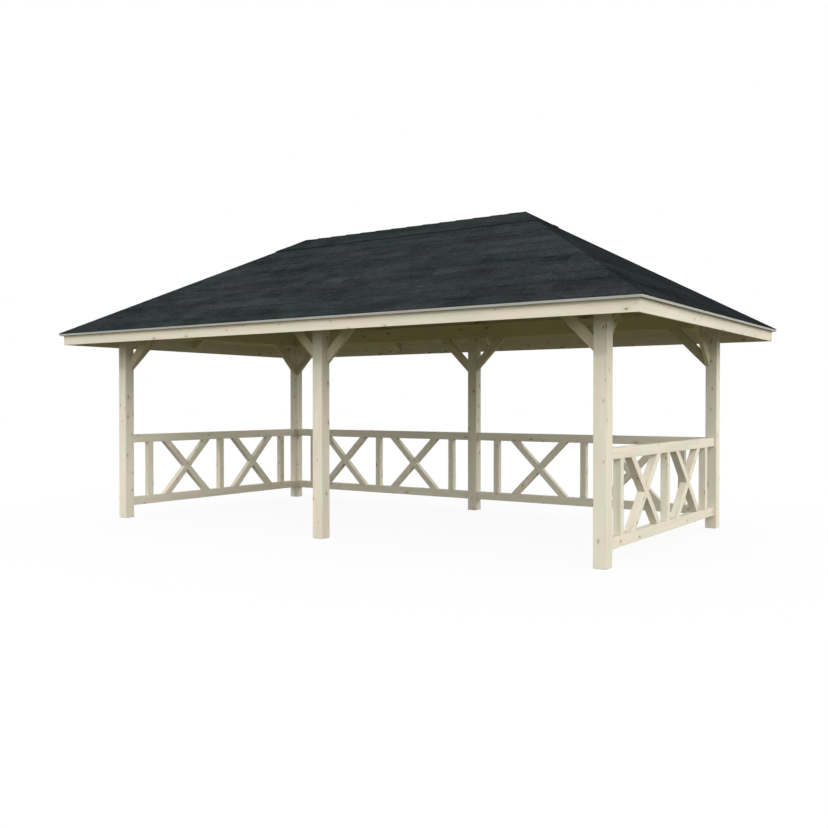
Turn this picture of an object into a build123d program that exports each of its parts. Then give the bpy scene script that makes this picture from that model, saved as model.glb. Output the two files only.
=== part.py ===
from build123d import *

import os
from math import cos, radians, sqrt, tan

# Garden gazebo: six posts carry a ring of beams and a hipped roof with shingles.  The front is open,
# and the two ends and both back bays have cross-braced railings.
#
# Millimetres.  X runs along the ridge, the open front faces -Y and Z is up.  The origin is on the
# ground at the middle of the plan.  "Out" is a distance in plan from the line through the middles
# of the outer posts: positive towards the eaves, negative towards the ridge.

# Posts and wall beams
BAY = 2970              # between the middles of neighbouring posts along the front
DEPTH = 2970            # between the middles of the front and back posts
POST = 120              # side of the square post
POST_TOP = 2150         # top of the posts, where the beams start
BEAM_WIDTH = 120
BEAM_HEIGHT = 170

# Knee braces at 45 degrees, flush with the posts' inner faces
BRACE_FOOT = 1730       # height at which a brace's lower edge meets its post
BRACE_WIDTH = 95        # across the brace, in the plane of the wall
BRACE_THICKNESS = 45

# Railings
RAIL_HEIGHT = 95        # height of one rail's section
LOW_RAIL_Z = 138        # underside of the bottom rail
TOP_RAIL_Z = 875        # underside of the top rail
RAILING_THICKNESS = 70
UPRIGHT_WIDTH = 70
UPRIGHT_INSET = 331     # from a post's middle to the middle of the nearest upright
CROSS_WIDTH = 70        # across one diagonal of the crosses, which stand at 45 degrees

# Roof shape
PITCH = 30              # degrees, the same on all four slopes
EAVE_Z = 2137           # top of the roof boards at the outer face of the drip strip
OVERHANG = 490          # out to the fascia's outer face
FASCIA_THICKNESS = 20
FASCIA_BOTTOM = 2010
DRIP_PROJECTION = 38    # from the fascia's outer face to the drip strip's outer face
DRIP_THICKNESS = 4
DRIP_HEIGHT = 22
BOARD_THICKNESS = 20    # roof boards, square to the slope
SHINGLE_THICKNESS = 6
SHINGLE_LIP = 2         # the shingles reach this far past the drip strip
CAP_THICKNESS = 8
CAP_REACH = 258         # in plan, from the ridge to the cap's lower edge

# Roof frame
RAFTER_WIDTH = 60
RAFTER_DEPTH = 80       # square to the slope
HIP_WIDTH = 60
HIP_DEPTH = 110         # plumb
RIDGE_WIDTH = 60
RIDGE_DEPTH = 150

# Values that follow
RIDGE_OUT = -DEPTH / 2
RIDGE_HALF = BAY + RIDGE_OUT
EAVE_OUT = OVERHANG + DRIP_PROJECTION
BOARD_OUT = EAVE_OUT - DRIP_THICKNESS
TAIL_OUT = OVERHANG - FASCIA_THICKNESS
BOARD_UNDER = -BOARD_THICKNESS
BEAM_TOP = POST_TOP + BEAM_HEIGHT

LEFT = -1
RIGHT = 1
FRONT = -1
BACK = 1
SIDES = {
    "front": ((LEFT, FRONT), (RIGHT, FRONT)),
    "right": ((RIGHT, FRONT), (RIGHT, BACK)),
    "back": ((RIGHT, BACK), (LEFT, BACK)),
    "left": ((LEFT, BACK), (LEFT, FRONT)),
}
END_NAMES = {LEFT: "left", RIGHT: "right"}
WALL_NAMES = {FRONT: "front", BACK: "back"}


def corner(out, x_side, y_side):
    """The plan's corner at a distance out, on the left or right and at the front or back."""
    return x_side * (BAY + out), y_side * (DEPTH / 2 + out)


def roof_z(out, lift=0):
    """Height of the slope that lies `lift` above the roof boards, square to them."""
    pitch = radians(PITCH)
    return EAVE_Z + (EAVE_OUT - out) * tan(pitch) + lift / cos(pitch)


def block(x_range, y_range, z_range):
    """A box between two values on each axis."""
    low, high = zip(x_range, y_range, z_range)
    size = [b - a for a, b in zip(low, high)]
    return Pos(*low) * Solid.make_box(*size)


def flat(points):
    """A flat face with straight edges."""
    return Face(Wire.make_polygon([Vector(*point) for point in points]))


def upright_plate(outline, thickness):
    """A plate in the XZ plane, in the middle of the Y axis, from (x, z) points."""
    points = [(x, -thickness / 2, z) for x, z in outline]
    return Solid.extrude(flat(points), Vector(0, thickness, 0))


def mitred(side, section):
    """A length along one side of the plan, mitred into its neighbours, from (out, z) points."""
    first, last = SIDES[side]
    start = [(*corner(out, *first), z) for out, z in section]
    end = [(*corner(out, *last), z) for out, z in section]
    walls = [(start[i - 1], start[i], end[i], end[i - 1]) for i in range(len(section))]
    outlines = [list(dict.fromkeys(points)) for points in (start, end, *walls)]
    return Solid(Shell([flat(points) for points in outlines if len(points) > 2]))


def slope(side, low, high, under, over):
    """One side's slope as a layer between two lifts, from one distance out up to another."""
    section = [
        (low, roof_z(low, under)),
        (low, roof_z(low, over)),
        (high, roof_z(high, over)),
        (high, roof_z(high, under)),
    ]
    return mitred(side, section)


def post(x, y):
    half = POST / 2
    return block((x - half, x + half), (y - half, y + half), (0, POST_TOP))


def long_beam(y):
    """A front or back beam: it runs over the corner posts to their outer faces."""
    reach = BAY + POST / 2
    half = BEAM_WIDTH / 2
    return block((-reach, reach), (y - half, y + half), (POST_TOP, BEAM_TOP))


def end_beam(x):
    """An end beam: it fits between the front and back beams."""
    reach = (DEPTH - BEAM_WIDTH) / 2
    half = BEAM_WIDTH / 2
    return block((x - half, x + half), (-reach, reach), (POST_TOP, BEAM_TOP))


def brace():
    """A knee brace on a post that stands at the origin, leaning towards +X, in the middle of Y."""
    face = POST / 2
    edge = BRACE_WIDTH * sqrt(2)
    rise = POST_TOP - BRACE_FOOT
    outline = [
        (face, BRACE_FOOT),
        (face + rise, POST_TOP),
        (face + rise - edge, POST_TOP),
        (face, BRACE_FOOT + edge),
    ]
    return upright_plate(outline, BRACE_THICKNESS)


def brace_pair(span, inner):
    """The two braces of a bay whose posts are `span` apart, set to the inner side: +1 or -1 in Y."""
    set_in = Pos(0, inner * (POST - BRACE_THICKNESS) / 2, 0)
    return [set_in * brace(), set_in * Pos(span, 0, 0) * Rot(0, 0, 180) * brace()]


def cross(middle):
    """The crossed diagonals between the rails: one is whole, the other is two halves against it."""
    low = LOW_RAIL_Z + RAIL_HEIGHT
    half_rise = (TOP_RAIL_Z - low) / 2
    half_edge = CROSS_WIDTH / sqrt(2)
    diagonals = []
    for lean in (-half_rise, half_rise):
        outline = [
            (middle - lean - half_edge, low),
            (middle - lean + half_edge, low),
            (middle + lean + half_edge, TOP_RAIL_Z),
            (middle + lean - half_edge, TOP_RAIL_Z),
        ]
        diagonals.append(upright_plate(outline, RAILING_THICKNESS))
    whole, halved = diagonals
    return [whole, *halved.cut(whole).solids()]


def railing(span):
    """The sticks of a railing between posts that are `span` apart, the first at the origin."""
    ends = (POST / 2, span - POST / 2)
    thick = (-RAILING_THICKNESS / 2, RAILING_THICKNESS / 2)
    pieces = [block(ends, thick, (z, z + RAIL_HEIGHT)) for z in (LOW_RAIL_Z, TOP_RAIL_Z)]
    uprights = (UPRIGHT_INSET, span / 2, span - UPRIGHT_INSET)
    for x in uprights:
        width = (x - UPRIGHT_WIDTH / 2, x + UPRIGHT_WIDTH / 2)
        pieces.append(block(width, thick, (LOW_RAIL_Z + RAIL_HEIGHT, TOP_RAIL_Z)))
    for left, right in zip(uprights, uprights[1:]):
        pieces += cross((left + right) / 2)
    return pieces


def rafter(start_out):
    """A rafter across the X axis that runs down towards +X, with `out` measured along X."""
    outline = [
        (start_out, roof_z(start_out, BOARD_UNDER)),
        (TAIL_OUT, roof_z(TAIL_OUT, BOARD_UNDER)),
        (TAIL_OUT, roof_z(TAIL_OUT, BOARD_UNDER - RAFTER_DEPTH)),
        (start_out, roof_z(start_out, BOARD_UNDER - RAFTER_DEPTH)),
    ]
    return upright_plate(outline, RAFTER_WIDTH)


def common_rafter(x, y_side, beam):
    """A rafter from the ridge beam down over a front or back beam, notched to sit on it."""
    place = Pos(x, y_side * DEPTH / 2, 0) * Rot(0, 0, y_side * 90)
    return (place * rafter(RIDGE_OUT + RIDGE_WIDTH / 2)).cut(beam).solid()


def end_rafter(x_side, beam):
    """The rafter in the middle of an end, from the ridge beam's end down over the end beam."""
    place = Pos(x_side * BAY, 0, 0) * Rot(0, 0, 0 if x_side == RIGHT else 180)
    return (place * rafter(RIDGE_OUT + RAFTER_WIDTH / 2)).cut(beam).solid()


def under_roof(*sides):
    """The space below the roof boards of some of the sides, down to the ground."""
    wedges = [
        mitred(side, [(EAVE_OUT, 0), (EAVE_OUT, roof_z(EAVE_OUT, BOARD_UNDER)),
                      (RIDGE_OUT, roof_z(RIDGE_OUT, BOARD_UNDER)), (RIDGE_OUT, 0)])
        for side in sides
    ]
    return wedges[0].fuse(*wedges[1:]).solid()


def hip_rafter(x_side, y_side, beams):
    """A hip rafter: its top is bevelled to both slopes, and both ends are cut to fit their corners."""
    top = [(*corner(out, x_side, y_side), roof_z(out, BOARD_UNDER)) for out in (RIDGE_OUT, TAIL_OUT)]
    bottom = [(x, y, z - HIP_DEPTH) for x, y, z in reversed(top)]
    square = Vector(x_side, -y_side, 0).normalized() * HIP_WIDTH
    blank = Pos(*(square * -0.5)) * Solid.extrude(flat(top + bottom), square)
    inner_x = x_side * (RIDGE_HALF + RAFTER_WIDTH / 2)
    inner_y = y_side * RAFTER_WIDTH / 2
    outer_x, outer_y = corner(TAIL_OUT, x_side, y_side)
    fit = block(sorted((inner_x, outer_x)), sorted((inner_y, outer_y)), (0, roof_z(RIDGE_OUT)))
    roof_space = under_roof(WALL_NAMES[y_side], END_NAMES[x_side])
    return blank.intersect(fit).solid().intersect(roof_space).solid().cut(*beams).solid()


def ridge_beam():
    """The beam under the ridge, bevelled on top to all four slopes."""
    reach = RIDGE_HALF + RAFTER_WIDTH / 2
    half = RIDGE_WIDTH / 2
    peak = roof_z(RIDGE_OUT, BOARD_UNDER)
    blank = block((-reach, reach), (-half, half), (peak - RIDGE_DEPTH, peak))
    return blank.intersect(under_roof(*SIDES)).solid()


def fascia(side):
    section = [
        (TAIL_OUT, FASCIA_BOTTOM),
        (OVERHANG, FASCIA_BOTTOM),
        (OVERHANG, roof_z(OVERHANG, BOARD_UNDER)),
        (TAIL_OUT, roof_z(TAIL_OUT, BOARD_UNDER)),
    ]
    return mitred(side, section)


def drip_strip(side):
    bottom = roof_z(EAVE_OUT) - DRIP_HEIGHT
    section = [
        (BOARD_OUT, bottom),
        (EAVE_OUT, bottom),
        (EAVE_OUT, roof_z(EAVE_OUT)),
        (BOARD_OUT, roof_z(BOARD_OUT)),
    ]
    return mitred(side, section)


def ridge_cap():
    """The strips that lie over the shingles along the ridge and round its ends, one on each slope."""
    over = SHINGLE_THICKNESS + CAP_THICKNESS
    low = RIDGE_OUT + CAP_REACH
    return [slope(side, low, RIDGE_OUT, SHINGLE_THICKNESS, over) for side in SIDES]


def build():
    """Every node of the gazebo, by name, as a list of solids."""
    nodes = {}
    walls = {name: y_side * DEPTH / 2 for y_side, name in WALL_NAMES.items()}
    for name, y in walls.items():
        for place, x in (("left", -BAY), ("middle", 0), ("right", BAY)):
            nodes[f"post_{name}_{place}"] = [post(x, y)]
        nodes[f"beam_{name}"] = [long_beam(y)]
        for place, x in (("left", -BAY), ("right", 0)):
            pair = brace_pair(BAY, 1 if name == "front" else -1)
            nodes[f"braces_{name}_{place}"] = [Pos(x, y, 0) * piece for piece in pair]
    for x_side, name in END_NAMES.items():
        along_end = Pos(x_side * BAY, walls["front"], 0) * Rot(0, 0, 90)
        nodes[f"beam_{name}"] = [end_beam(x_side * BAY)]
        pair = brace_pair(DEPTH, x_side)
        nodes[f"braces_{name}_end"] = [along_end * piece for piece in pair]
        nodes[f"railing_{name}_end"] = [along_end * piece for piece in railing(DEPTH)]
    for place, x in (("left", -BAY), ("right", 0)):
        nodes[f"railing_back_{place}"] = [Pos(x, walls["back"], 0) * piece for piece in railing(BAY)]

    beams = {side: nodes[f"beam_{side}"][0] for side in SIDES}
    for place, x in (("left", -RIDGE_HALF), ("middle", 0), ("right", RIDGE_HALF)):
        nodes[f"rafters_{place}"] = [
            common_rafter(x, y_side, beams[name]) for y_side, name in WALL_NAMES.items()
        ]
    for x_side, name in END_NAMES.items():
        nodes[f"rafter_{name}_end"] = [end_rafter(x_side, beams[name])]
        nodes[f"hip_rafters_{name}"] = [
            hip_rafter(x_side, y_side, (beams[name], beams[wall]))
            for y_side, wall in WALL_NAMES.items()
        ]
    nodes["ridge_beam"] = [ridge_beam()]

    for side in SIDES:
        nodes[f"roof_boards_{side}"] = [slope(side, BOARD_OUT, RIDGE_OUT, BOARD_UNDER, 0)]
        nodes[f"shingles_{side}"] = [
            slope(side, EAVE_OUT + SHINGLE_LIP, RIDGE_OUT, 0, SHINGLE_THICKNESS)
        ]
        nodes[f"fascia_{side}"] = [fascia(side)]
        nodes[f"drip_strip_{side}"] = [drip_strip(side)]
    nodes["ridge_cap"] = ridge_cap()
    return nodes


os.makedirs("parts", exist_ok=True)
for node, solids in build().items():
    export_step(Compound(solids), f"parts/{node}.step")
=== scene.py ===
import random
from collections import namedtuple
from math import cos, radians, sin, tan

import bmesh
import bpy
from mathutils import Euler, Matrix, Vector


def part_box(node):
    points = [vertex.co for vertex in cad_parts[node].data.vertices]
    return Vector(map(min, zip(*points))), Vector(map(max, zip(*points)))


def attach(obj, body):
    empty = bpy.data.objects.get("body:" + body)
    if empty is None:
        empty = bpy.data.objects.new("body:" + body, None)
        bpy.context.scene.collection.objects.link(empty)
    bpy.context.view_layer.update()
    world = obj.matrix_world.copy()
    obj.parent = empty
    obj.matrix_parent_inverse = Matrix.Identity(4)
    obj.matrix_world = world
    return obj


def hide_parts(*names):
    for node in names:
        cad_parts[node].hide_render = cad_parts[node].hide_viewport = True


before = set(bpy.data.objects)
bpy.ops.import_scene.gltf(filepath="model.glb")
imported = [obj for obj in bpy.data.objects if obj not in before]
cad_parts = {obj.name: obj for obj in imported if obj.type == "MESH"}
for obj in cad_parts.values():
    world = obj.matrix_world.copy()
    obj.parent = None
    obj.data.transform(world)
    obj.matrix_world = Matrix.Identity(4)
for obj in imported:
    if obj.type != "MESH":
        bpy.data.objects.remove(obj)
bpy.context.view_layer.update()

# Garden gazebo: planed pale timber under a hipped roof of dark shingles.  Metres, in the frame of the
# CAD model: X runs along the ridge, the open front faces -Y, and the ground is at Z = 0.

SIDES = ("front", "back", "left", "right")
ENDS = ("left", "right")


def by_side(long_slopes, end_slopes):
    """A value for each slope of the roof."""
    return {"front": long_slopes, "back": long_slopes, "left": end_slopes, "right": end_slopes}


# Timber
POST_EASE = 0.005           # rounding of the posts' edges
BEAM_EASE = 0.002
STICK_EASE = 0.003          # rounding of braces, rails and rafters
BOARD_EASE = 0.0025         # rounding of fascias and roof boards

# Roof
PITCH = radians(30)
BOARD_THICKNESS = 0.020
ROOF_BOARD_WIDTH = 0.095
BOARD_GAP = 0.001
LEAST_BOARD = 0.010         # no board narrower than this is laid at the top
COURSE = 0.198              # shingle courses, up the slope
FIRST_COURSE = 0.157        # the lowest course, above the drip strip
TAB_WIDTH = 0.270
TAB_SLOT = 0.004
TAB_BUTT = 0.006            # thickness of a tab at its lower edge, with the felt under it
TAB_TOP = by_side(0.64, 0.90)       # a tab's thickness at its top edge, as a share of its butt
FELT = 0.0012               # the felt that the tabs lie on, dark in the slots between them
TAB_JOG = 0.06              # how far a course is out of step, as a share of a tab
COURSE_GAP = 0.0004         # between a tab's top edge and the next course
CAP_STRIP = 0.216           # length of one lapped cap piece along the ridge
CAP_SLOT = 0.0006
CAP_THICKNESS = 0.008
CAP_BED = -0.003            # the cap pieces' undersides reach down among the tabs
CAP_GAP = 0.00005           # between the cap pieces of neighbouring slopes
CAP_LAP = 0.40              # how much thinner a cap piece is at its covered end
CAP_SIDE = {"front": 1, "back": -1, "left": 1, "right": 1}      # which end of a cap piece is covered
CAP_SEED = 40
SLOPE_PAINTED_SHADE = by_side(1.00, 0.63)        # how light each slope's tabs are drawn; the end slopes darker as painted shade
# how light the ridge cap's pieces are drawn: darker than the tabs on the long slopes, and darker as painted
# shade on the end slopes
CAP_TONE_AND_PAINTED_SHADE = by_side(0.86, 0.63)
LAP_SHADE = by_side(0.36, 0.06)     # how dark the line under each course is
DRIP_HEIGHT = 0.022
DRIP_BENDS = (              # how far in from the eave and down each bend of the drip edge is
    (0.0040, -0.0021), (0.0030, 0.0002), (0.0000, 0.0072), (0.0002, 0.0086),
    (0.0026, 0.0196), (0.0016, 0.0208), (0.0020, 0.0220), (0.0040, 0.0220))

# Screws
FASCIA_END = 0.030          # from a fascia's end to its last screws
FASCIA_ROWS = (0.030, 0.078)        # the rows of screws, below the fascia's top edge
TAIL_REACH = 0.100          # a rafter that comes this near to the fascia's face is screwed to it
RAFTERS = ("rafters_left", "rafters_middle", "rafters_right", "rafter_left_end", "rafter_right_end")
BRACE_ENDS = (0.040, 0.085)         # from a brace's end to its screws
RAIL_ITSELF = 0.010         # a stick that ends this near to a railing's top is the top rail
RAIL_REACH = 0.150          # and one that ends this near meets the top rail from below
SCREW_HEAD = {"Head Radius": 0.005, "Head Height": 0.0022, "Sunk": 0.0016, "Top Share": 0.90,
              "Recess Share": 0.42, "Recess Depth": 0.0015, "Sides": 12}

# Studio
FLOOR_HALF = 60.0
SENSOR_WIDTH = 36.0         # millimetres, like the lens
LENS = 40.216
CAMERA_PLACE = (5.9405, -8.5245, 1.3374)
CAMERA_DIP = 0.667          # degrees below level
CAMERA_TURN = 34.423        # degrees from the back towards the left


# ---------------------------------------------------------------------------------------------
# Node helpers

def new_material(name):
    """A material with a Principled shader; returns the material, its tree and the shader."""
    material = bpy.data.materials.new(name)
    material.use_nodes = True
    shader = material.node_tree.nodes["Principled BSDF"]
    return material, material.node_tree, shader


def add(tree, kind, inputs=None, **settings):
    """A node of a kind, with its settings, and its inputs set to values or linked to sockets."""
    node = tree.nodes.new(kind)
    for key, value in settings.items():
        setattr(node, key, value)
    for key, value in (inputs or {}).items():
        if isinstance(value, bpy.types.NodeSocket):
            tree.links.new(value, node.inputs[key])
        else:
            node.inputs[key].default_value = value
    return node


def math(tree, operation, *values):
    """A Math node's result."""
    return add(tree, "ShaderNodeMath", dict(enumerate(values)), operation=operation).outputs[0]


def vector_math(tree, operation, *values):
    """A Vector Math node's vector result."""
    return add(tree, "ShaderNodeVectorMath", dict(enumerate(values)), operation=operation).outputs[0]


def mix_colour(tree, factor, first, second, blend="MIX"):
    """Two colours mixed by a factor."""
    inputs = {0: factor, 6: first, 7: second}       # by number, because several share a name
    return add(tree, "ShaderNodeMix", inputs, data_type="RGBA", blend_type=blend).outputs[2]


def scaled(tree, colour, factor):
    """A colour or a vector times a linked factor."""
    return add(tree, "ShaderNodeVectorMath", {0: colour, "Scale": factor}, operation="SCALE").outputs[0]


def noise(tree, vector, scale, detail=2.0, roughness=0.5):
    """Smooth noise from 0 to 1, mostly near the middle."""
    inputs = {"Vector": vector, "Scale": scale, "Detail": detail, "Roughness": roughness}
    return add(tree, "ShaderNodeTexNoise", inputs).outputs["Fac"]


def spread(tree, value, low, high, to_low=0.0, to_high=1.0):
    """A value's range mapped to another range and held inside it."""
    inputs = {"Value": value, "From Min": low, "From Max": high, "To Min": to_low, "To Max": to_high}
    return add(tree, "ShaderNodeMapRange", inputs).outputs["Result"]


def attribute(tree, name, output="Fac"):
    """What a piece's mesh says under a name."""
    return add(tree, "ShaderNodeAttribute", attribute_name=name).outputs[output]


# ---------------------------------------------------------------------------------------------
# Finishes

def timber_knots(tree):
    """The shares of knot, of swirled wood round it and of dark core, on each face of a stick.

    "face place" runs along and across a face, with a value of its own for each face.  A knot lies in
    about two cells out of five and has its own size, and one in three has a dark core.
    """
    face_place = attribute(tree, "face place", "Vector")
    number = add(tree, "ShaderNodeSeparateXYZ", {0: face_place}).outputs["Z"]
    # The faces take their knots from different parts of one pattern
    aside = add(tree, "ShaderNodeCombineXYZ", {"X": math(tree, "MULTIPLY", number, 7.31),
                                               "Y": math(tree, "MULTIPLY", number, 3.17)}).outputs[0]
    cells = vector_math(tree, "MULTIPLY_ADD", face_place, (4.6, 8.8, 0.0), aside)
    knots = add(tree, "ShaderNodeTexVoronoi", {"Vector": cells, "Scale": 1.0, "Randomness": 0.9},
                voronoi_dimensions="2D", feature="F1")
    luck = add(tree, "ShaderNodeSeparateColor", {0: knots.outputs["Color"]})
    distance = knots.outputs["Distance"]
    chosen = spread(tree, luck.outputs[0], 0.58, 0.59)
    size = spread(tree, luck.outputs[1], 0.0, 1.0, 0.035, 0.100)
    reach = math(tree, "DIVIDE", distance, size)
    spot = math(tree, "MULTIPLY", spread(tree, reach, 0.75, 1.25, 1.0, 0.0), chosen)
    halo = math(tree, "MULTIPLY", spread(tree, reach, 1.0, 3.2, 1.0, 0.0), chosen)
    dead = spread(tree, luck.outputs[2], 0.60, 0.72)
    core = math(tree, "MULTIPLY", spread(tree, distance, 0.030, 0.054, 1.0, 0.0),
                math(tree, "MULTIPLY", chosen, dead))
    return spot, halo, core


def timber_flow(tree, grain, halo):
    """A stick's grain, which wanders slowly and swings round each knot."""
    stretched = vector_math(tree, "MULTIPLY", grain, (1.6, 5.0, 5.0))
    wander = add(tree, "ShaderNodeTexNoise", {"Vector": stretched, "Scale": 1.0, "Detail": 2.0})
    wander = vector_math(tree, "SUBTRACT", wander.outputs["Color"], (0.5, 0.5, 0.5))
    wander = vector_math(tree, "MULTIPLY", wander, (0.0, 0.030, 0.030))
    swing = scaled(tree, (0.0, 0.012, 0.008), halo)
    return vector_math(tree, "ADD", vector_math(tree, "ADD", grain, wander), swing)


def planed_timber(name, early, late, knot, sheen):
    """Planed softwood that follows each stick's own grain: growth rings, fibres, drifts and knots.

    "grain" runs along, across and through a stick, and "tone" is the stick's own.
    """
    material, tree, shader = new_material(name)
    grain = attribute(tree, "grain", "Vector")
    spot, halo, core = timber_knots(tree)
    flow = timber_flow(tree, grain, halo)

    squeezed = vector_math(tree, "MULTIPLY", flow, (0.035, 1.0, 1.0))
    rings = add(tree, "ShaderNodeTexWave",
                {"Vector": squeezed, "Scale": 62.0, "Distortion": 2.2, "Detail": 2.0,
                 "Detail Scale": 0.35, "Detail Roughness": 0.45},
                wave_type="RINGS", rings_direction="X", wave_profile="SAW").outputs["Fac"]
    late_wood = math(tree, "POWER", rings, 2.2)
    fibres = noise(tree, vector_math(tree, "MULTIPLY", flow, (7.0, 420.0, 420.0)), 1.0, 3.0, 0.6)
    patches = noise(tree, vector_math(tree, "MULTIPLY", flow, (1.3, 14.0, 14.0)), 1.0, 2.0)

    late_share = math(tree, "MULTIPLY", late_wood, 0.45)
    colour = mix_colour(tree, late_share, (*early, 1.0), (*late, 1.0))
    # Slow drifts of hue along the stick, rosy to greenish
    drift = noise(tree, vector_math(tree, "MULTIPLY", grain, (2.6, 9.0, 9.0)), 1.0, 2.0, 0.55)
    hue = mix_colour(tree, spread(tree, drift, 0.32, 0.68), (1.045, 0.975, 0.965, 1.0),
                     (0.955, 1.010, 0.965, 1.0))
    colour = mix_colour(tree, 1.0, colour, hue, "MULTIPLY")
    streak = math(tree, "MULTIPLY_ADD", fibres, 0.24, 0.88)
    patch = math(tree, "MULTIPLY_ADD", patches, 0.26, 0.87)
    own_tone = math(tree, "MULTIPLY_ADD", attribute(tree, "tone"), 0.035, 1.0)
    value = math(tree, "MULTIPLY", math(tree, "MULTIPLY", streak, patch), own_tone)
    colour = scaled(tree, colour, value)

    halo_colour = tuple(part * tint for part, tint in zip(late, (0.98, 0.88, 0.84)))
    colour = mix_colour(tree, math(tree, "MULTIPLY", halo, 0.45), colour, (*halo_colour, 1.0))
    colour = mix_colour(tree, math(tree, "MULTIPLY", spot, 0.66), colour, (*knot, 1.0))
    dark_core = tuple(part * 0.22 for part in knot)
    colour = mix_colour(tree, math(tree, "MULTIPLY", core, 0.75), colour, (*dark_core, 1.0))
    tree.links.new(colour, shader.inputs["Base Color"])

    rough = math(tree, "MULTIPLY_ADD", fibres, 0.16, 0.56)
    tree.links.new(rough, shader.inputs["Roughness"])
    shader.inputs["Specular IOR Level"].default_value = sheen
    relief = math(tree, "ADD", math(tree, "MULTIPLY", fibres, 0.6), math(tree, "MULTIPLY", late_wood, 0.4))
    relief = math(tree, "SUBTRACT", relief, math(tree, "MULTIPLY", core, 0.8))
    bump = add(tree, "ShaderNodeBump", {"Height": relief, "Strength": 0.35, "Distance": 0.0006})
    tree.links.new(bump.outputs[0], shader.inputs["Normal"])
    return material


def mineral_shingle():
    """Charcoal bitumen shingle with a crushed-stone face.

    "tab tone" is a tab's own tone, a slope's lightness how light its tabs are drawn, with the end slopes
    darker as painted shade, "lap shade" how deep the painted shadow line under the next course is, "below the
    cap" the distance to the ridge cap, which sets a painted shadow under the cap's edge, and "up the tab"
    runs from 0 at its lower edge to 1 at the next course.
    """
    material, tree, shader = new_material("shingle granules")
    place = add(tree, "ShaderNodeTexCoord").outputs["Object"]
    tone = attribute(tree, "tab tone")
    up = attribute(tree, "up the tab")
    lengthwise = vector_math(tree, "MULTIPLY", place, (1.0, 1.0, 4.4))
    blot = noise(tree, vector_math(tree, "MULTIPLY", place, (0.55, 1.0, 5.0)), 1.5, 3.0, 0.55)
    # Each tab is cut from its own part of the sheet, so the finer clouds stop at its edges
    apart = add(tree, "ShaderNodeCombineXYZ", {"X": math(tree, "MULTIPLY", tone, 9.0),
                                               "Y": math(tree, "MULTIPLY", tone, 4.0)}).outputs[0]
    cloud = noise(tree, vector_math(tree, "ADD", lengthwise, apart), 4.0, 4.0, 0.62)
    grains = noise(tree, place, 85.0, 2.0, 0.7)
    grit = add(tree, "ShaderNodeTexVoronoi", {"Vector": place, "Scale": 520.0}, feature="F1")
    grit_tone = add(tree, "ShaderNodeSeparateColor", {0: grit.outputs["Color"]}).outputs[0]
    share = math(tree, "ADD", math(tree, "MULTIPLY", tone, 0.24),
                 math(tree, "MULTIPLY", spread(tree, blot, 0.34, 0.66), 0.40))
    share = math(tree, "ADD", share, math(tree, "MULTIPLY", spread(tree, cloud, 0.30, 0.70), 0.36))
    colour = mix_colour(tree, spread(tree, share, 0.0, 1.0), (0.0086, 0.0110, 0.0118, 1.0),
                        (0.0335, 0.0376, 0.0378, 1.0))
    # The stone's hue drifts between green and plum
    drift = noise(tree, vector_math(tree, "ADD", lengthwise, (3.0, 1.0, 0.0)), 1.8, 2.0, 0.5)
    hue = mix_colour(tree, spread(tree, drift, 0.36, 0.64), (0.93, 1.03, 1.00, 1.0), (1.05, 0.98, 1.04, 1.0))
    colour = mix_colour(tree, 1.0, colour, hue, "MULTIPLY")
    # A shadow line where the next course laps over, broken by the granules' own unevenness
    gaps = noise(tree, lengthwise, 5.0, 2.0)
    line = math(tree, "MULTIPLY", spread(tree, up, 0.90, 0.97), spread(tree, gaps, 0.47, 0.64))
    line = math(tree, "MULTIPLY", line, attribute(tree, "lap shade"))
    rough_patch = noise(tree, place, 28.0, 2.0, 0.6)
    # Each slope's lightness; the end slopes and the cap's end pieces are drawn darker as painted shade
    shade = math(tree, "MULTIPLY", math(tree, "SUBTRACT", 1.0, line), attribute(tree, "slope tone and painted shade"))
    shade = math(tree, "MULTIPLY", shade, spread(tree, rough_patch, 0.30, 0.70, 0.80, 1.20))
    # A painted shadow under the ridge cap's lower edge
    painted_cap_shadow = spread(tree, attribute(tree, "below the cap"), 0.006, 0.045, 0.35, 1.0)
    shade = math(tree, "MULTIPLY", shade, painted_cap_shadow)
    speck = math(tree, "MULTIPLY", spread(tree, grit_tone, 0.0, 1.0, 0.62, 1.38),
                 spread(tree, grains, 0.30, 0.70, 0.70, 1.30))
    colour = scaled(tree, colour, math(tree, "MULTIPLY", speck, shade))
    tree.links.new(colour, shader.inputs["Base Color"])
    rough = math(tree, "MULTIPLY_ADD", grit_tone, 0.14, 0.80)
    tree.links.new(rough, shader.inputs["Roughness"])
    shader.inputs["Specular IOR Level"].default_value = 0.0
    relief = math(tree, "ADD", math(tree, "MULTIPLY", grit.outputs["Distance"], 0.5),
                  math(tree, "MULTIPLY", cloud, 0.5))
    bump = add(tree, "ShaderNodeBump", {"Height": relief, "Strength": 0.5, "Distance": 0.0015})
    tree.links.new(bump.outputs[0], shader.inputs["Normal"])
    return material


def coated_metal():
    """Grey coated sheet for the drip edges, a little dulled by weather."""
    material, tree, shader = new_material("grey coated metal")
    place = add(tree, "ShaderNodeTexCoord").outputs["Object"]
    haze = noise(tree, vector_math(tree, "MULTIPLY", place, (1.0, 1.0, 6.0)), 4.0, 4.0, 0.6)
    fine = noise(tree, place, 160.0, 2.0)
    share = math(tree, "ADD", math(tree, "MULTIPLY", haze, 0.7), math(tree, "MULTIPLY", fine, 0.3))
    colour = mix_colour(tree, spread(tree, share, 0.3, 0.7), (0.290, 0.296, 0.268, 1.0),
                        (0.375, 0.381, 0.348, 1.0))
    tree.links.new(colour, shader.inputs["Base Color"])
    tree.links.new(spread(tree, haze, 0.3, 0.7, 0.38, 0.55), shader.inputs["Roughness"])
    bump = add(tree, "ShaderNodeBump", {"Height": fine, "Strength": 0.15, "Distance": 0.0003})
    tree.links.new(bump.outputs[0], shader.inputs["Normal"])
    return material


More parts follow.
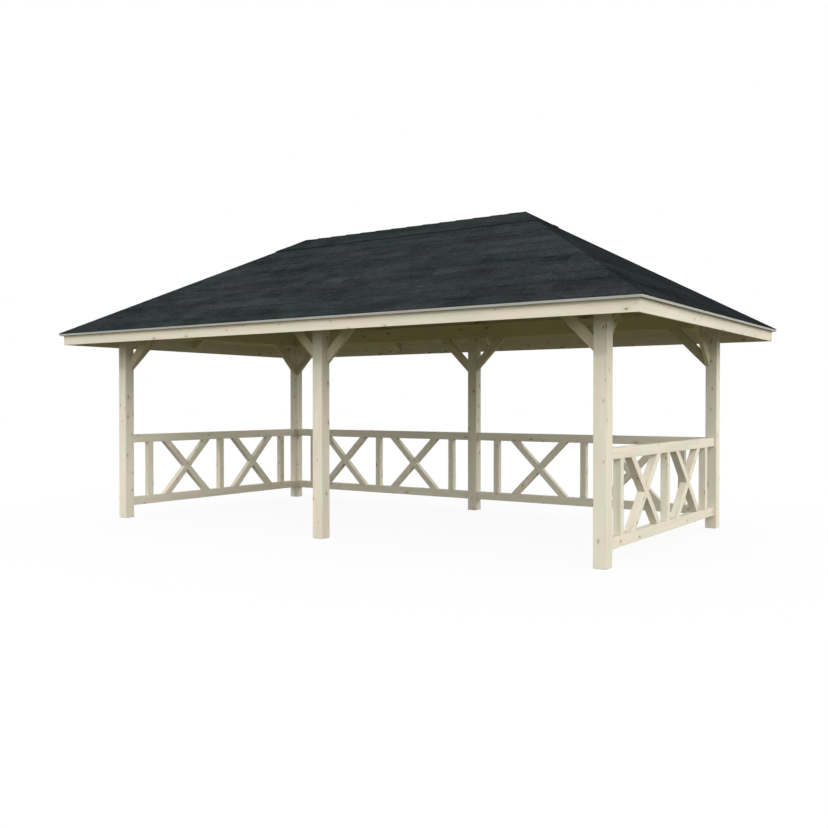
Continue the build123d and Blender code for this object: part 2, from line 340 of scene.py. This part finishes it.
def zinc_steel():
    """Zinc-plated screw steel, cloudy from handling."""
    material, tree, shader = new_material("zinc screw steel")
    place = add(tree, "ShaderNodeTexCoord").outputs["Object"]
    cloud = noise(tree, place, 240.0, 2.0, 0.6)
    colour = mix_colour(tree, spread(tree, cloud, 0.3, 0.7), (0.330, 0.315, 0.270, 1.0),
                        (0.480, 0.465, 0.410, 1.0))
    tree.links.new(colour, shader.inputs["Base Color"])
    shader.inputs["Metallic"].default_value = 0.8
    tree.links.new(spread(tree, cloud, 0.3, 0.7, 0.34, 0.52), shader.inputs["Roughness"])
    return material


# ---------------------------------------------------------------------------------------------
# Timber pieces

def loose_parts(mesh):
    """The separate solids of a bmesh, in the order they were made, each as a list of its vertices."""
    seen = set()
    parts = []
    for vert in mesh.verts:
        if vert in seen:
            continue
        part = []
        heap = [vert]
        seen.add(vert)
        while heap:
            here = heap.pop()
            part.append(here)
            for edge in here.link_edges:
                other = edge.other_vert(here)
                if other not in seen:
                    seen.add(other)
                    heap.append(other)
        parts.append(part)
    return parts


Stick = namedtuple("Stick", "axes start shift tone")


def faces_of(part):
    """The faces of a solid, once each, always in the same order."""
    return list(dict.fromkeys(face for vert in part for face in vert.link_faces))


def grain_axes(part):
    """Along, across and through a stick: its longest edge, and the normal of its largest long face."""
    edges = dict.fromkeys(edge for vert in part for edge in vert.link_edges)
    longest = max(edges, key=lambda edge: round(edge.calc_length(), 5))
    along = (longest.verts[1].co - longest.verts[0].co).normalized()
    sides = [face for face in faces_of(part) if abs(face.normal.dot(along)) < 0.1]
    through = max(sides, key=lambda face: round(face.calc_area(), 6)).normal.copy()
    return along, through.cross(along), through


def number_sticks(mesh, layer, seed):
    """Numbers the sticks of a bmesh in a layer, and returns where each lies in its own tree."""
    luck = random.Random(seed)
    sticks = []
    for number, part in enumerate(loose_parts(mesh)):
        # How far up its tree a stick was cut, and how far from the heart
        shift = Vector((luck.uniform(0, 40), luck.uniform(0.02, 0.25), luck.uniform(0.01, 0.12)))
        sticks.append(Stick(grain_axes(part), part[0].co.copy(), shift, luck.uniform(-1, 1)))
        for vert in part:
            vert[layer] = number
    return sticks


def mark_faces(mesh, layer, sticks, grain):
    """Gives each face of a stick its own place along and across, for the knots."""
    face_place = mesh.loops.layers.float_vector.new("face place")
    for face in mesh.faces:
        number = face.verts[0][layer]
        stick = sticks[number]
        facing = [face.normal.dot(axis) for axis in stick.axes]
        main = max(range(3), key=lambda axis: abs(facing[axis]))
        # A number for each side of each stick, which sets its knots apart
        own = main * 2 + (facing[main] > 0) + number * 7 + stick.shift.x
        for loop in face.loops:
            place = loop.vert[grain]
            run = place.y if main == 0 else place.x
            side = place.y if main == 2 else place.z
            loop[face_place] = Vector((run, side + stick.shift.x, own))


def timber_piece(name, mesh, ease, material, nodes, seed):
    """Eases the edges of the sticks in a bmesh, gives each its grain, and makes it a piece."""
    mesh.normal_update()
    grain = mesh.verts.layers.float_vector.new("grain")
    tone = mesh.verts.layers.float.new("tone")
    layer = mesh.verts.layers.int.new("stick")
    sticks = number_sticks(mesh, layer, seed)
    bmesh.ops.bevel(mesh, geom=mesh.edges[:], offset=ease, segments=2, profile=0.5, affect="EDGES",
                    clamp_overlap=True)
    for vert in mesh.verts:
        stick = sticks[vert[layer]]
        offset = vert.co - stick.start
        vert[grain] = Vector([offset.dot(axis) for axis in stick.axes]) + stick.shift
        vert[tone] = stick.tone
    mark_faces(mesh, layer, sticks, grain)
    mesh.verts.layers.int.remove(layer)
    finished(name, mesh, material, nodes)


def finished(name, mesh, material, nodes):
    """A bmesh as a piece of the gazebo, which stands for CAD nodes if any are given."""
    data = bpy.data.meshes.new(name)
    mesh.to_mesh(data)
    mesh.free()
    data.materials.clear()
    data.materials.append(material)
    piece = bpy.data.objects.new(name, data)
    bpy.context.scene.collection.objects.link(piece)
    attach(piece, "root")
    if nodes:
        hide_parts(*nodes)


def cad_sticks(node):
    """The CAD node's solids as a clean bmesh with whole faces."""
    mesh = bmesh.new()
    mesh.from_mesh(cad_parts[node].data)
    bmesh.ops.remove_doubles(mesh, verts=mesh.verts[:], dist=1e-5)
    bmesh.ops.dissolve_limit(mesh, angle_limit=radians(0.5), verts=mesh.verts[:], edges=mesh.edges[:])
    return mesh


def carry_over(node, ease, material):
    """A CAD node's own sticks, with eased edges and grain."""
    timber_piece(f"{node}_timber", cad_sticks(node), ease, material, [node], node)


def add_prism(mesh, near_points, far_points):
    """Adds a closed solid between two outlines of as many 3-D points."""
    near = [mesh.verts.new(point) for point in near_points]
    far = [mesh.verts.new(point) for point in far_points]
    faces = [mesh.faces.new(near), mesh.faces.new(far)]
    for i in range(len(near)):
        faces.append(mesh.faces.new((near[i - 1], near[i], far[i], far[i - 1])))
    bmesh.ops.recalc_face_normals(mesh, faces=faces)


timber = planed_timber("planed spruce", early=(0.665, 0.625, 0.525), late=(0.563, 0.504, 0.380),
                       knot=(0.300, 0.200, 0.130), sheen=0.08)
# The roof timber is the posts' spruce drawn darker and yellower: painted shade for the beams, rafters and
# boards under the roof. The brace timber is drawn darker part of the way: painted shade of the eaves on the
# braces.
roof_timber_in_painted_shade = planed_timber("roof timber in painted shade", early=(0.600, 0.560, 0.385), late=(0.510, 0.460, 0.295),
                            knot=(0.300, 0.200, 0.110), sheen=0.0)
brace_timber = planed_timber("brace timber in painted half shade", early=(0.610, 0.565, 0.420), late=(0.515, 0.455, 0.310),
                             knot=(0.300, 0.190, 0.110), sheen=0.0)
shingle = mineral_shingle()
metal = coated_metal()
screw_steel = zinc_steel()

CARRIED = (
    # the node's first word, the ease of its edges, its finish and its slot
    ("post", POST_EASE, timber, "post_timber"),
    # the beams, braces and roof sticks take the timber with painted shade
    ("beam", BEAM_EASE, roof_timber_in_painted_shade, "beam_timber"),
    ("braces", STICK_EASE, brace_timber, "brace_timber"),
    ("railing", STICK_EASE, timber, "railing_timber"),
    ("fascia", BOARD_EASE, timber, "fascia_timber"),
    ("rafter", STICK_EASE, roof_timber_in_painted_shade, "rafter_timber"),
    ("rafters", STICK_EASE, roof_timber_in_painted_shade, "rafter_timber"),
    ("hip", STICK_EASE, roof_timber_in_painted_shade, "rafter_timber"),
    ("ridge_beam", STICK_EASE, roof_timber_in_painted_shade, "rafter_timber"),
)
for node in sorted(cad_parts):
    for word, ease, finish, slot in CARRIED:
        if word in (node, node.split("_")[0]):
            carry_over(node, ease, finish)


# ---------------------------------------------------------------------------------------------
# Roof

class Slope:
    """How one side of the roof lies, from its CAD nodes.

    out and along are level, away from the middle and along the eave.  The drip edge lies eave_out away
    from the middle, is twice eave_half long and has its top at eave_z, and the lowest tabs reach past it
    by lip.  The slope runs in from there to top_out, a level distance of run.
    """

    def __init__(self, side):
        self.out = {"front": Vector((0, -1, 0)), "back": Vector((0, 1, 0)),
                    "left": Vector((-1, 0, 0)), "right": Vector((1, 0, 0))}[side]
        self.along = Vector((0, 0, 1)).cross(self.out)
        low, high = (Vector(corner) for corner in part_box(f"shingles_{side}"))
        drip_low, drip_high = (Vector(corner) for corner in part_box(f"drip_strip_{side}"))
        reach = [abs(corner.dot(self.out)) for corner in (low, high)]
        self.eave_out = max(abs(drip_low.dot(self.out)), abs(drip_high.dot(self.out)))
        self.eave_half = abs((drip_high - drip_low).dot(self.along)) / 2
        self.lip = max(reach) - self.eave_out
        self.top_out = min(reach) if side in ENDS else 0.0
        self.run = self.eave_out - self.top_out
        self.eave_z = drip_low.z + DRIP_HEIGHT

    def corner(self, way, inward, drop=0.0):
        """A point on the slope's hip: way is -1 or 1 along the eave, inward is in plan from the eave."""
        place = self.out * (self.eave_out - inward) + self.along * way * (self.eave_half - inward)
        return place + Vector((0, 0, self.eave_z + inward * tan(PITCH) - drop))


def roof_boards(side):
    """Boards side by side up a slope, each mitred at the hips."""
    slope = Slope(side)
    drop = Vector((0, 0, BOARD_THICKNESS / cos(PITCH)))
    board_low, board_high = (Vector(corner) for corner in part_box(f"roof_boards_{side}"))
    start = slope.eave_out - max(abs(board_low.dot(slope.out)), abs(board_high.dot(slope.out)))
    width = ROOF_BOARD_WIDTH * cos(PITCH)
    mesh = bmesh.new()
    near = start
    while near < slope.run - LEAST_BOARD:
        far = min(near + width - BOARD_GAP, slope.run)
        outline = [slope.corner(-1, near), slope.corner(1, near), slope.corner(1, far), slope.corner(-1, far)]
        if (outline[3] - outline[2]).length < 1e-4:     # the top board of an end slope has three corners
            outline.pop()
        add_prism(mesh, outline, [point - drop for point in outline])
        near += width
    return mesh


def drip_edge(side):
    """A folded drip edge: a nose that leans back at the top, a face that falls in, and a hem."""
    slope = Slope(side)
    mesh = bmesh.new()
    ends = []
    for way in (-1, 1):
        ends.append([])
        for inward, drop in DRIP_BENDS:
            place = slope.out * (slope.eave_out - inward) + slope.along * way * (slope.eave_half - inward)
            ends[-1].append(place + Vector((0, 0, slope.eave_z - drop)))
    add_prism(mesh, *ends)
    return mesh


for side in SIDES:
    timber_piece(f"roof_boards_{side}_timber", roof_boards(side), BOARD_EASE, roof_timber_in_painted_shade,
                 [f"roof_boards_{side}"], f"boards {side}")
    finished(f"drip_edge_{side}", drip_edge(side), metal, [f"drip_strip_{side}"])


# ---------------------------------------------------------------------------------------------
# Shingles

def tree_input(tree, name, kind, value):
    """An input of a node tree, and its value if it isn't given one."""
    socket = tree.interface.new_socket(name, in_out="INPUT", socket_type=kind)
    if value is not None:
        socket.default_value = value


def stored(tree, geometry, name, value, domain):
    """A geometry that carries a number under a name, for its finish to read."""
    inputs = {"Geometry": geometry, "Name": name, "Value": value}
    return add(tree, "GeometryNodeStoreNamedAttribute", inputs, data_type="FLOAT", domain=domain).outputs[0]


def lapped_tabs():
    """Courses of tabs, flat: X runs along the eave from the middle, Y up the slope and Z out of it."""
    tree = bpy.data.node_groups.new("lapped tabs", "GeometryNodeTree")
    tree.interface.new_socket("Geometry", in_out="OUTPUT", socket_type="NodeSocketGeometry")
    names = ("Half Length", "Slope Length", "Course", "First Course", "Tab Width", "Tab Slot", "Bed", "Butt",
             "Top Share", "Side Lap", "Jog", "Bundle", "Lap Shade")
    for name in names:
        tree_input(tree, name, "NodeSocketFloat", 0.0)
    tree_input(tree, "Seed", "NodeSocketInt", 0)
    tree_input(tree, "Finish", "NodeSocketMaterial", None)
    given = tree.nodes.new("NodeGroupInput").outputs
    result = tree.nodes.new("NodeGroupOutput")

    # One point for each tab, the courses half a tab apart and a little out of step
    left_over = math(tree, "SUBTRACT", given["Slope Length"], given["First Course"])
    rows = math(tree, "ADD", math(tree, "CEIL", math(tree, "DIVIDE", left_over, given["Course"])), 1.0)
    columns = math(tree, "DIVIDE", math(tree, "MULTIPLY", given["Half Length"], 2.0), given["Tab Width"])
    columns = math(tree, "ADD", math(tree, "CEIL", columns), 3.0)
    size_x = math(tree, "MULTIPLY", math(tree, "SUBTRACT", columns, 1.0), given["Tab Width"])
    size_y = math(tree, "MULTIPLY", math(tree, "SUBTRACT", rows, 1.0), given["Course"])
    grid = add(tree, "GeometryNodeMeshGrid", {"Size X": size_x, "Size Y": size_y, "Vertices X": columns,
                                              "Vertices Y": rows})
    points = add(tree, "GeometryNodeMeshToPoints", {"Mesh": grid.outputs["Mesh"]})
    spot = add(tree, "ShaderNodeSeparateXYZ", {0: add(tree, "GeometryNodeInputPosition").outputs[0]})
    height = math(tree, "ADD", spot.outputs["Y"], math(tree, "MULTIPLY", size_y, 0.5))
    row = math(tree, "ROUND", math(tree, "DIVIDE", height, given["Course"]))
    odd = math(tree, "MODULO", row, 2.0)
    luck = add(tree, "FunctionNodeRandomValue", {"Min": -1.0, "Max": 1.0, "ID": row, "Seed": given["Seed"]},
               data_type="FLOAT").outputs[1]
    step = math(tree, "ADD", math(tree, "MULTIPLY", odd, 0.5), math(tree, "MULTIPLY", luck, given["Jog"]))
    shift_y = math(tree, "ADD", math(tree, "MULTIPLY", size_y, 0.5), given["First Course"])
    shift_y = math(tree, "SUBTRACT", shift_y, given["Course"])
    shift = add(tree, "ShaderNodeCombineXYZ", {"X": math(tree, "MULTIPLY", step, given["Tab Width"]),
                                               "Y": shift_y})
    placed = add(tree, "GeometryNodeSetPosition", {"Geometry": points.outputs[0], "Offset": shift.outputs[0]})

    # One tab: thickest at its lower edge, and thinner towards one side where cap pieces lap
    tab_width = math(tree, "SUBTRACT", given["Tab Width"], given["Tab Slot"])
    tab_length = math(tree, "SUBTRACT", given["Course"], COURSE_GAP)
    tab_size = add(tree, "ShaderNodeCombineXYZ", {"X": tab_width, "Y": tab_length, "Z": 1.0})
    box = add(tree, "GeometryNodeMeshCube", {"Size": tab_size.outputs[0]})
    corner = add(tree, "ShaderNodeSeparateXYZ", {0: add(tree, "GeometryNodeInputPosition").outputs[0]})
    up = math(tree, "ADD", math(tree, "DIVIDE", corner.outputs["Y"], tab_length), 0.5)
    sideways = math(tree, "MULTIPLY", math(tree, "DIVIDE", corner.outputs["X"], tab_width), given["Side Lap"])
    sideways = math(tree, "MULTIPLY_ADD", math(tree, "ABSOLUTE", given["Side Lap"]), 0.5, sideways)
    upwards = math(tree, "MULTIPLY", up, math(tree, "SUBTRACT", 1.0, given["Top Share"]))
    thin = math(tree, "SUBTRACT", math(tree, "SUBTRACT", 1.0, upwards), sideways)
    thickness = math(tree, "MULTIPLY", math(tree, "SUBTRACT", given["Butt"], given["Bed"]), thin)
    top = math(tree, "ADD", corner.outputs["Z"], 0.5)
    shaped = add(tree, "ShaderNodeCombineXYZ", {
        "X": corner.outputs["X"], "Y": math(tree, "MULTIPLY", up, tab_length),
        "Z": math(tree, "MULTIPLY_ADD", top, thickness, given["Bed"])})
    marked = stored(tree, box.outputs["Mesh"], "up the tab", up, "POINT")
    tab = add(tree, "GeometryNodeSetPosition", {"Geometry": marked, "Position": shaped.outputs[0]})

    laid = add(tree, "GeometryNodeInstanceOnPoints", {
        "Points": placed.outputs[0], "Instance": tab.outputs[0]}).outputs[0]
    tone = add(tree, "FunctionNodeRandomValue", {"Seed": given["Seed"]}, data_type="FLOAT").outputs[1]
    laid = stored(tree, laid, "tab tone", tone, "INSTANCE")
    laid = stored(tree, laid, "slope tone and painted shade", given["Bundle"], "INSTANCE")
    laid = stored(tree, laid, "lap shade", given["Lap Shade"], "INSTANCE")
    real = add(tree, "GeometryNodeRealizeInstances", {"Geometry": laid})
    finish = add(tree, "GeometryNodeSetMaterial", {"Geometry": real.outputs[0], "Material": given["Finish"]})
    tree.links.new(finish.outputs[0], result.inputs[0])
    return tree


def made_by(tree, name, values, start=None):
    """The plain mesh that a node tree makes with the given inputs, from a mesh to start from if any."""
    holder = bpy.data.objects.new(name, start or bpy.data.meshes.new(name))
    bpy.context.scene.collection.objects.link(holder)
    modifier = holder.modifiers.new(name, "NODES")
    modifier.node_group = tree
    sockets = {item.name: item.identifier for item in tree.interface.items_tree if item.in_out == "INPUT"}
    for key, value in values.items():
        modifier[sockets[key]] = value
    bpy.context.view_layer.update()
    evaluated = holder.evaluated_get(bpy.context.evaluated_depsgraph_get())
    data = bpy.data.meshes.new_from_object(evaluated)
    bpy.data.objects.remove(holder)
    return data


def trim(mesh, place, normal):
    """Cuts off what lies on the normal's side of a plane, and closes each cut tab again."""
    everything = mesh.verts[:] + mesh.edges[:] + mesh.faces[:]
    bmesh.ops.bisect_plane(mesh, geom=everything, dist=1e-7, plane_co=place, plane_no=normal,
                           clear_outer=True)
    open_edges = [edge for edge in mesh.edges if edge.is_boundary]
    bmesh.ops.edgeloop_fill(mesh, edges=open_edges)


def laid_on(slope, sheet, lift, low, lip, gap=0.0):
    """A flat sheet of tabs on a slope from a distance `low` above its eave, cut at the hips and the ridge.

    The cuts keep a gap from the neighbouring slopes' sheets.
    """
    mesh = bmesh.new()
    mesh.from_mesh(sheet)
    bpy.data.meshes.remove(sheet)
    up_slope = Vector((0, 0, 1)) * sin(PITCH) - slope.out * cos(PITCH)
    square = slope.along.cross(up_slope)
    start = slope.out * (slope.eave_out - low) + Vector((0, 0, slope.eave_z + low * tan(PITCH)))
    turn = Matrix((slope.along, up_slope, square)).transposed().to_4x4()
    mesh.transform(Matrix.Translation(start + square * lift) @ turn)
    for way in (-1, 1):
        beyond_hip = (slope.along * way - slope.out).normalized()
        trim(mesh, slope.corner(way, 0.0) - slope.along * way * gap, beyond_hip)
    trim(mesh, slope.out * (slope.eave_out - low + lip), slope.out)
    trim(mesh, slope.out * (slope.top_out + gap), -slope.out)
    bmesh.ops.recalc_face_normals(mesh, faces=mesh.faces[:])
    return mesh


def mark(sheet, word, values):
    """One number to each point of a mesh, for the finish to read."""
    layer = sheet.attributes.new(word, "FLOAT", "POINT")
    layer.data.foreach_set("value", values)


def cap_reach():
    """How far the ridge cap comes down on each side, level."""
    low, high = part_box("ridge_cap")
    return (high[1] - low[1]) / 2


def shingle_courses(side, seed):
    """A slope's courses of tabs on their felt."""
    slope = Slope(side)
    sheet = made_by(lapped, f"shingles {side}", {
        "Half Length": slope.eave_half, "Slope Length": slope.run / cos(PITCH), "Course": COURSE,
        "First Course": FIRST_COURSE, "Tab Width": TAB_WIDTH, "Tab Slot": TAB_SLOT, "Bed": FELT,
        "Butt": TAB_BUTT, "Top Share": TAB_TOP[side], "Side Lap": 0.0, "Jog": TAB_JOG,
        "Bundle": SLOPE_PAINTED_SHADE[side], "Lap Shade": LAP_SHADE[side], "Seed": seed, "Finish": shingle})
    cap_edge = (slope.run - cap_reach()) / cos(PITCH)
    mark(sheet, "below the cap", [cap_edge - vertex.co.y for vertex in sheet.vertices])
    mesh = laid_on(slope, sheet, 0.0, 0.0, slope.lip)
    outline = [slope.corner(-1, 0.0), slope.corner(1, 0.0), slope.corner(1, slope.run),
               slope.corner(-1, slope.run)]
    if side in ENDS:
        outline.pop()
    up = Vector((0, 0, FELT / cos(PITCH)))
    add_prism(mesh, outline, [point + up for point in outline])
    return mesh


def ridge_cap():
    """The cap pieces along the ridge and round its ends, each lapped over the next."""
    reach = cap_reach()
    length = reach / cos(PITCH)
    course = length * 1.1       # one course covers the whole width of the cap
    cap = bmesh.new()
    for number, side in enumerate(SIDES):
        slope = Slope(side)
        sheet = made_by(lapped, f"cap {side}", {
            "Half Length": slope.eave_half, "Slope Length": length, "Course": course,
            "First Course": course, "Tab Width": CAP_STRIP, "Tab Slot": CAP_SLOT, "Bed": CAP_BED,
            "Butt": CAP_THICKNESS, "Top Share": 1.0, "Side Lap": CAP_LAP * CAP_SIDE[side], "Jog": 0.0,
            "Bundle": CAP_TONE_AND_PAINTED_SHADE[side], "Lap Shade": 0.0, "Seed": CAP_SEED + number, "Finish": shingle})
        mark(sheet, "below the cap", [1.0] * len(sheet.vertices))
        part = laid_on(slope, sheet, TAB_BUTT, slope.run - reach, 0.0, CAP_GAP)
        data = bpy.data.meshes.new("cap part")
        part.to_mesh(data)
        part.free()
        cap.from_mesh(data)
        bpy.data.meshes.remove(data)
    return cap


lapped = lapped_tabs()
for number, side in enumerate(SIDES):
    finished(f"shingle_courses_{side}", shingle_courses(side, number + 1), shingle,
             [f"shingles_{side}"])
finished("ridge_cap_pieces", ridge_cap(), shingle, ["ridge_cap"])


# ---------------------------------------------------------------------------------------------
# Screws

def screw_heads():
    """A countersunk head with a recess on each point of a mesh, turned to the point's own "facing"."""
    tree = bpy.data.node_groups.new("screw heads", "GeometryNodeTree")
    tree.interface.new_socket("Places", in_out="INPUT", socket_type="NodeSocketGeometry")
    tree.interface.new_socket("Geometry", in_out="OUTPUT", socket_type="NodeSocketGeometry")
    for name in ("Head Radius", "Head Height", "Sunk", "Top Share", "Recess Share", "Recess Depth"):
        tree_input(tree, name, "NodeSocketFloat", 0.0)
    tree_input(tree, "Sides", "NodeSocketInt", 12)
    tree_input(tree, "Finish", "NodeSocketMaterial", None)
    given = tree.nodes.new("NodeGroupInput").outputs
    result = tree.nodes.new("NodeGroupOutput")

    disc = add(tree, "GeometryNodeMeshCircle", {"Vertices": given["Sides"], "Radius": given["Head Radius"]},
               fill_type="NGON").outputs[0]
    up = (0.0, 0.0, 1.0)
    body = add(tree, "GeometryNodeExtrudeMesh", {
        "Mesh": disc, "Offset": up, "Offset Scale": given["Head Height"], "Individual": False})
    eased = add(tree, "GeometryNodeScaleElements", {
        "Geometry": body.outputs["Mesh"], "Selection": body.outputs["Top"], "Scale": given["Top Share"]})
    rim = add(tree, "GeometryNodeExtrudeMesh", {
        "Mesh": eased.outputs[0], "Selection": body.outputs["Top"], "Offset": up, "Offset Scale": 0.0,
        "Individual": False})
    hole = add(tree, "GeometryNodeScaleElements", {
        "Geometry": rim.outputs["Mesh"], "Selection": rim.outputs["Top"], "Scale": given["Recess Share"]})
    deep = math(tree, "MULTIPLY", given["Recess Depth"], -1.0)
    recess = add(tree, "GeometryNodeExtrudeMesh", {
        "Mesh": hole.outputs[0], "Selection": rim.outputs["Top"], "Offset": up, "Offset Scale": deep,
        "Individual": False})
    underside = add(tree, "GeometryNodeFlipFaces", {"Mesh": disc})
    whole = tree.nodes.new("GeometryNodeJoinGeometry")
    tree.links.new(recess.outputs["Mesh"], whole.inputs[0])
    tree.links.new(underside.outputs[0], whole.inputs[0])
    closed = add(tree, "GeometryNodeMergeByDistance", {"Geometry": whole.outputs[0], "Distance": 1e-6})
    lower = add(tree, "ShaderNodeCombineXYZ", {"Z": math(tree, "MULTIPLY", given["Sunk"], -1.0)})
    head = add(tree, "GeometryNodeTransform", {
        "Geometry": closed.outputs[0], "Translation": lower.outputs[0]})

    facing = add(tree, "GeometryNodeInputNamedAttribute", {"Name": "facing"}, data_type="FLOAT_VECTOR")
    turn = add(tree, "FunctionNodeAlignRotationToVector", {"Vector": facing.outputs[0]}, axis="Z")
    driven = add(tree, "GeometryNodeInstanceOnPoints", {
        "Points": given["Places"], "Instance": head.outputs[0], "Rotation": turn.outputs[0]})
    real = add(tree, "GeometryNodeRealizeInstances", {"Geometry": driven.outputs[0]})
    finish = add(tree, "GeometryNodeSetMaterial", {"Geometry": real.outputs[0], "Material": given["Finish"]})
    tree.links.new(finish.outputs[0], result.inputs[0])
    return tree


def solids(node):
    """The corners of each solid of a CAD node."""
    mesh = cad_sticks(node)
    found = [[vert.co.copy() for vert in part] for part in loose_parts(mesh)]
    mesh.free()
    return found


def fascia_screws():
    """Two screws through the fascias into each rafter's tail and into each corner."""
    places = []
    for side in SIDES:
        low, high = (Vector(corner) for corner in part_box(f"fascia_{side}"))
        slope = Slope(side)
        face = max(abs(low.dot(slope.out)), abs(high.dot(slope.out)))
        reach = abs((high - low).dot(slope.along)) / 2
        stations = [-reach + FASCIA_END, reach - FASCIA_END]
        for node in RAFTERS:
            for corners in solids(node):
                tail = max(corners, key=lambda corner: corner.dot(slope.out)).dot(slope.out)
                middle = sum(corner.dot(slope.along) for corner in corners) / len(corners)
                if tail > face - TAIL_REACH:
                    stations.append(middle)
        for station in stations:
            for below in FASCIA_ROWS:
                place = slope.out * face + slope.along * station + Vector((0, 0, high.z - below))
                places.append((place, slope.out))
    return places


def brace_screws():
    """Two screws at each end of a brace, up through its lower edge."""
    last, next_to_last = BRACE_ENDS
    places = []
    for node in sorted(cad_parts):
        if not node.startswith("braces"):
            continue
        mesh = cad_sticks(node)
        mesh.normal_update()
        for part in loose_parts(mesh):
            lower = max((face for face in faces_of(part) if -0.95 < face.normal.z < -0.3),
                        key=lambda face: face.calc_area())
            run = max(lower.edges, key=lambda edge: edge.calc_length())
            way = (run.verts[1].co - run.verts[0].co).normalized()
            half = run.calc_length() / 2
            for along in (-half + last, -half + next_to_last, half - next_to_last, half - last):
                places.append((lower.calc_center_median() + way * along, lower.normal.copy()))
        mesh.free()
    return places


def rail_screws():
    """A screw down through each top rail into every upright and diagonal under it."""
    places = []
    for node in sorted(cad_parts):
        if not node.startswith("railing"):
            continue
        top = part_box(node)[1][2]
        mesh = cad_sticks(node)
        mesh.normal_update()
        for part in loose_parts(mesh):
            highest = max(vert.co.z for vert in part)
            if highest > top - RAIL_ITSELF or highest < top - RAIL_REACH:
                continue
            for face in faces_of(part):
                if face.normal.z > 0.99:
                    middle = face.calc_center_median()
                    places.append((Vector((middle.x, middle.y, top)), Vector((0, 0, 1))))
        mesh.free()
    return places


def screws(name, places, tree):
    """A piece of screw heads at the given places, each with the way that it faces."""
    start = bpy.data.meshes.new(name)
    start.from_pydata([place for place, facing in places], [], [])
    layer = start.attributes.new("facing", "FLOAT_VECTOR", "POINT")
    layer.data.foreach_set("vector", [part for place, facing in places for part in facing])
    data = made_by(tree, name, {**SCREW_HEAD, "Finish": screw_steel}, start)
    mesh = bmesh.new()
    mesh.from_mesh(data)
    bpy.data.meshes.remove(data)
    finished(name, mesh, screw_steel, [])


heads = screw_heads()
screws("fascia_screws", fascia_screws(), heads)
screws("brace_screws", brace_screws(), heads)
screws("railing_screws", rail_screws(), heads)


# ---------------------------------------------------------------------------------------------
# Floor, light and camera

def seen_ray(tree):
    """1 for the camera's own rays, straight, mirrored or through glass, and 0 for all others."""
    ray = add(tree, "ShaderNodeLightPath")
    seen = math(tree, "MAXIMUM", ray.outputs["Is Camera Ray"], ray.outputs["Is Glossy Ray"])
    return math(tree, "MAXIMUM", seen, ray.outputs["Is Transmission Ray"])


def pale_floor():
    """A plain floor that the camera sees as white, apart from the gazebo's soft shadow."""
    material, tree, shader = new_material("pale floor")
    shader.inputs["Base Color"].default_value = (0.045, 0.045, 0.045, 1.0)
    shader.inputs["Roughness"].default_value = 0.9
    shader.inputs["Specular IOR Level"].default_value = 0.0
    glow = add(tree, "ShaderNodeEmission", {"Color": (1.0, 1.0, 1.0, 1.0), "Strength": 0.925})
    shown = add(tree, "ShaderNodeAddShader", {0: shader.outputs[0], 1: glow.outputs[0]})
    bounce = add(tree, "ShaderNodeBsdfDiffuse", {"Color": (0.112, 0.108, 0.072, 1.0)})
    either = add(tree, "ShaderNodeMixShader", {0: seen_ray(tree), 1: bounce.outputs[0], 2: shown.outputs[0]})
    tree.links.new(either.outputs[0], tree.nodes["Material Output"].inputs["Surface"])
    data = bpy.data.meshes.new("floor")
    corners = [(x * FLOOR_HALF, y * FLOOR_HALF, 0) for x, y in ((-1, -1), (1, -1), (1, 1), (-1, 1))]
    data.from_pydata(corners, [], [(0, 1, 2, 3)])
    data.materials.append(material)
    floor = bpy.data.objects.new("floor", data)
    bpy.context.scene.collection.objects.link(floor)


def sun(name, azimuth, elevation, strength, angle):
    """A far white lamp; azimuth turns from the front (-Y) towards the right (+X)."""
    data = bpy.data.lights.new(name, "SUN")
    data.energy = strength
    data.angle = radians(angle)
    lamp = bpy.data.objects.new(name, data)
    lamp.rotation_euler = Euler((radians(90 - elevation), 0, radians(azimuth)))
    bpy.context.scene.collection.objects.link(lamp)


def sky():
    """Even white light from all round; the camera sees white."""
    world = bpy.data.worlds.new("studio")
    world.use_nodes = True
    tree = world.node_tree
    light = tree.nodes["Background"]
    light.inputs["Color"].default_value = (0.985, 0.995, 1.0, 1.0)
    light.inputs["Strength"].default_value = 1.54
    white = add(tree, "ShaderNodeBackground", {"Color": (1.0, 1.0, 1.0, 1.0), "Strength": 1.0})
    blend = add(tree, "ShaderNodeMixShader", {0: seen_ray(tree), 1: light.outputs[0], 2: white.outputs[0]})
    tree.links.new(blend.outputs[0], tree.nodes["World Output"].inputs["Surface"])
    bpy.context.scene.world = world


def camera():
    """The camera, in front of the right end at the height of the eye."""
    data = bpy.data.cameras.new("camera")
    data.sensor_width = SENSOR_WIDTH
    data.lens = LENS
    view = bpy.data.objects.new("camera", data)
    view.location = CAMERA_PLACE
    view.rotation_euler = Euler((radians(90 - CAMERA_DIP), 0, radians(CAMERA_TURN)))
    bpy.context.scene.collection.objects.link(view)
    bpy.context.scene.camera = view


pale_floor()
sky()
sun("key", azimuth=-12, elevation=33, strength=0.49, angle=4)
sun("side fill", azimuth=60, elevation=25, strength=1.12, angle=40)
sun("low fill", azimuth=114, elevation=8, strength=0.55, angle=46)
camera()
bpy.context.scene.view_settings.view_transform = "Standard"
